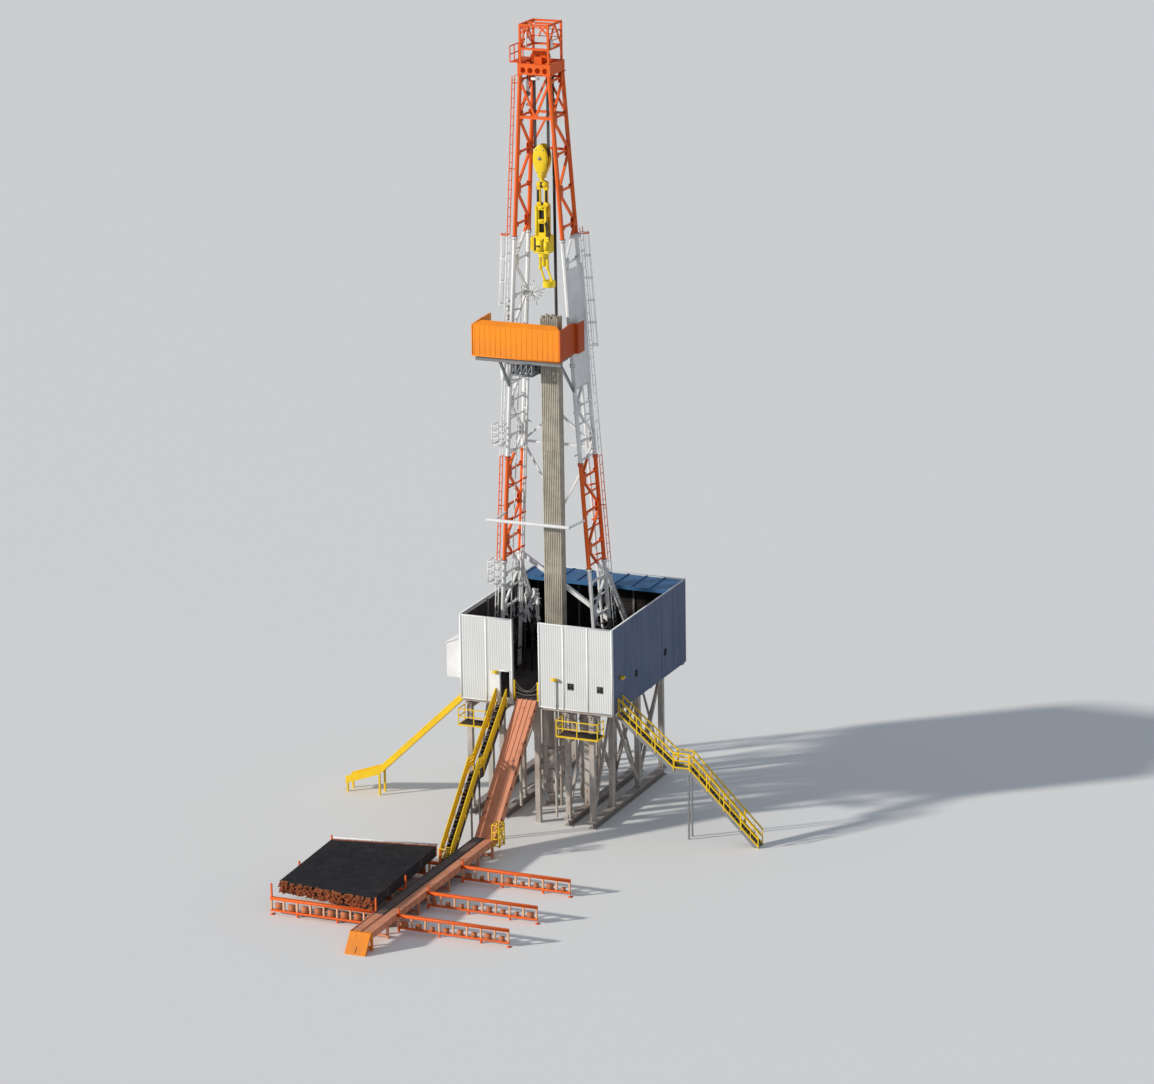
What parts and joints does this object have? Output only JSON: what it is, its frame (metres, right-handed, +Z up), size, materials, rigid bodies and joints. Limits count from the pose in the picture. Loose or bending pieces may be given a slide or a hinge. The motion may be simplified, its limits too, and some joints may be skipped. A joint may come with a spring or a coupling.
{
  "type": "oil drilling rig with an A-shaped mast, 1:2 scale model",
  "caption": "Scale model of a land drilling rig: lattice mast over a raised drill floor with wind walls, pipe ramp, catwalk, racks, stairs and a travelling block that slides up and down.",
  "frame": {"origin": "centre of the well at the underside of the wellhead flange, at ground level", "axes": "+Z up, +Y to the back of the rig away from the catwalk, +X to the right seen from the catwalk"},
  "size_m": [15.0544, 19.395, 26.26],
  "materials": {
    "catwalk_paint": "faded",
    "dark_pipe": "rough",
    "floor_steel": "worn",
    "grey_steel": "satin",
    "mast_paint": "satin",
    "orange_paint": "satin",
    "pipe_steel": "worn",
    "ramp_paint": "faded",
    "roof_paint": "satin",
    "shelter_paint": "satin",
    "side_sheet": "satin",
    "skid_paint": "worn satin",
    "stack_steel": "worn",
    "wall_sheet": "satin",
    "white_paint": "satin",
    "wire_rope": "rough",
    "yellow_paint": "satin"
  },
  "bodies": {
    "root": {"base_skids": "skid_paint", "wellhead_stack": "stack_steel", "bell_nipple": "stack_steel", "substructure": "white_paint", "floor_beams": "skid_paint", "drill_floor": "floor_steel", "rotary_table": "floor_steel", "service_platforms": "yellow_paint", "front_walls": "wall_sheet", "left_wall": "wall_sheet", "right_wall": "side_sheet", "back_wall": "wall_sheet", "wall_posts": "grey_steel", "side_cabin": "white_paint", "door_leaf": "white_paint", "rear_roof": "roof_paint", "left_stair": "grey_steel", "left_stair_rails": "yellow_paint", "right_stair": "grey_steel", "right_stair_rails": "yellow_paint", "escape_slide": "yellow_paint", "ramp": "ramp_paint", "vdoor_posts": "yellow_paint", "catwalk": "catwalk_paint", "pipe_racks": "orange_paint", "pipe_pile": "dark_pipe", "mast_left_leg": "mast_paint", "mast_right_leg": "mast_paint", "mast_top_bracing": "orange_paint", "mast_cross_brace": "white_paint", "mast_struts": "white_paint", "crown_beams": "orange_paint", "crown_sheaves": "grey_steel", "crown_gantry": "orange_paint", "belly_bar": "white_paint", "pipe_handler_board": "grey_steel", "shelter_walls": "shelter_paint", "mast_ladders": "orange_paint", "racked_pipes": "pipe_steel", "drilling_lines": "wire_rope"},
    "travelling_gear": {"travelling_block": "yellow_paint", "hook": "yellow_paint", "top_drive": "yellow_paint", "elevator_links": "yellow_paint"}
  },
  "joints": [
    {"name": "hoist", "type": "slide", "parent": "root", "child": "travelling_gear", "axis": [0, 0, 1], "range_m": [-12, 0.6], "deforming": ["drilling_lines"]}
  ]
}
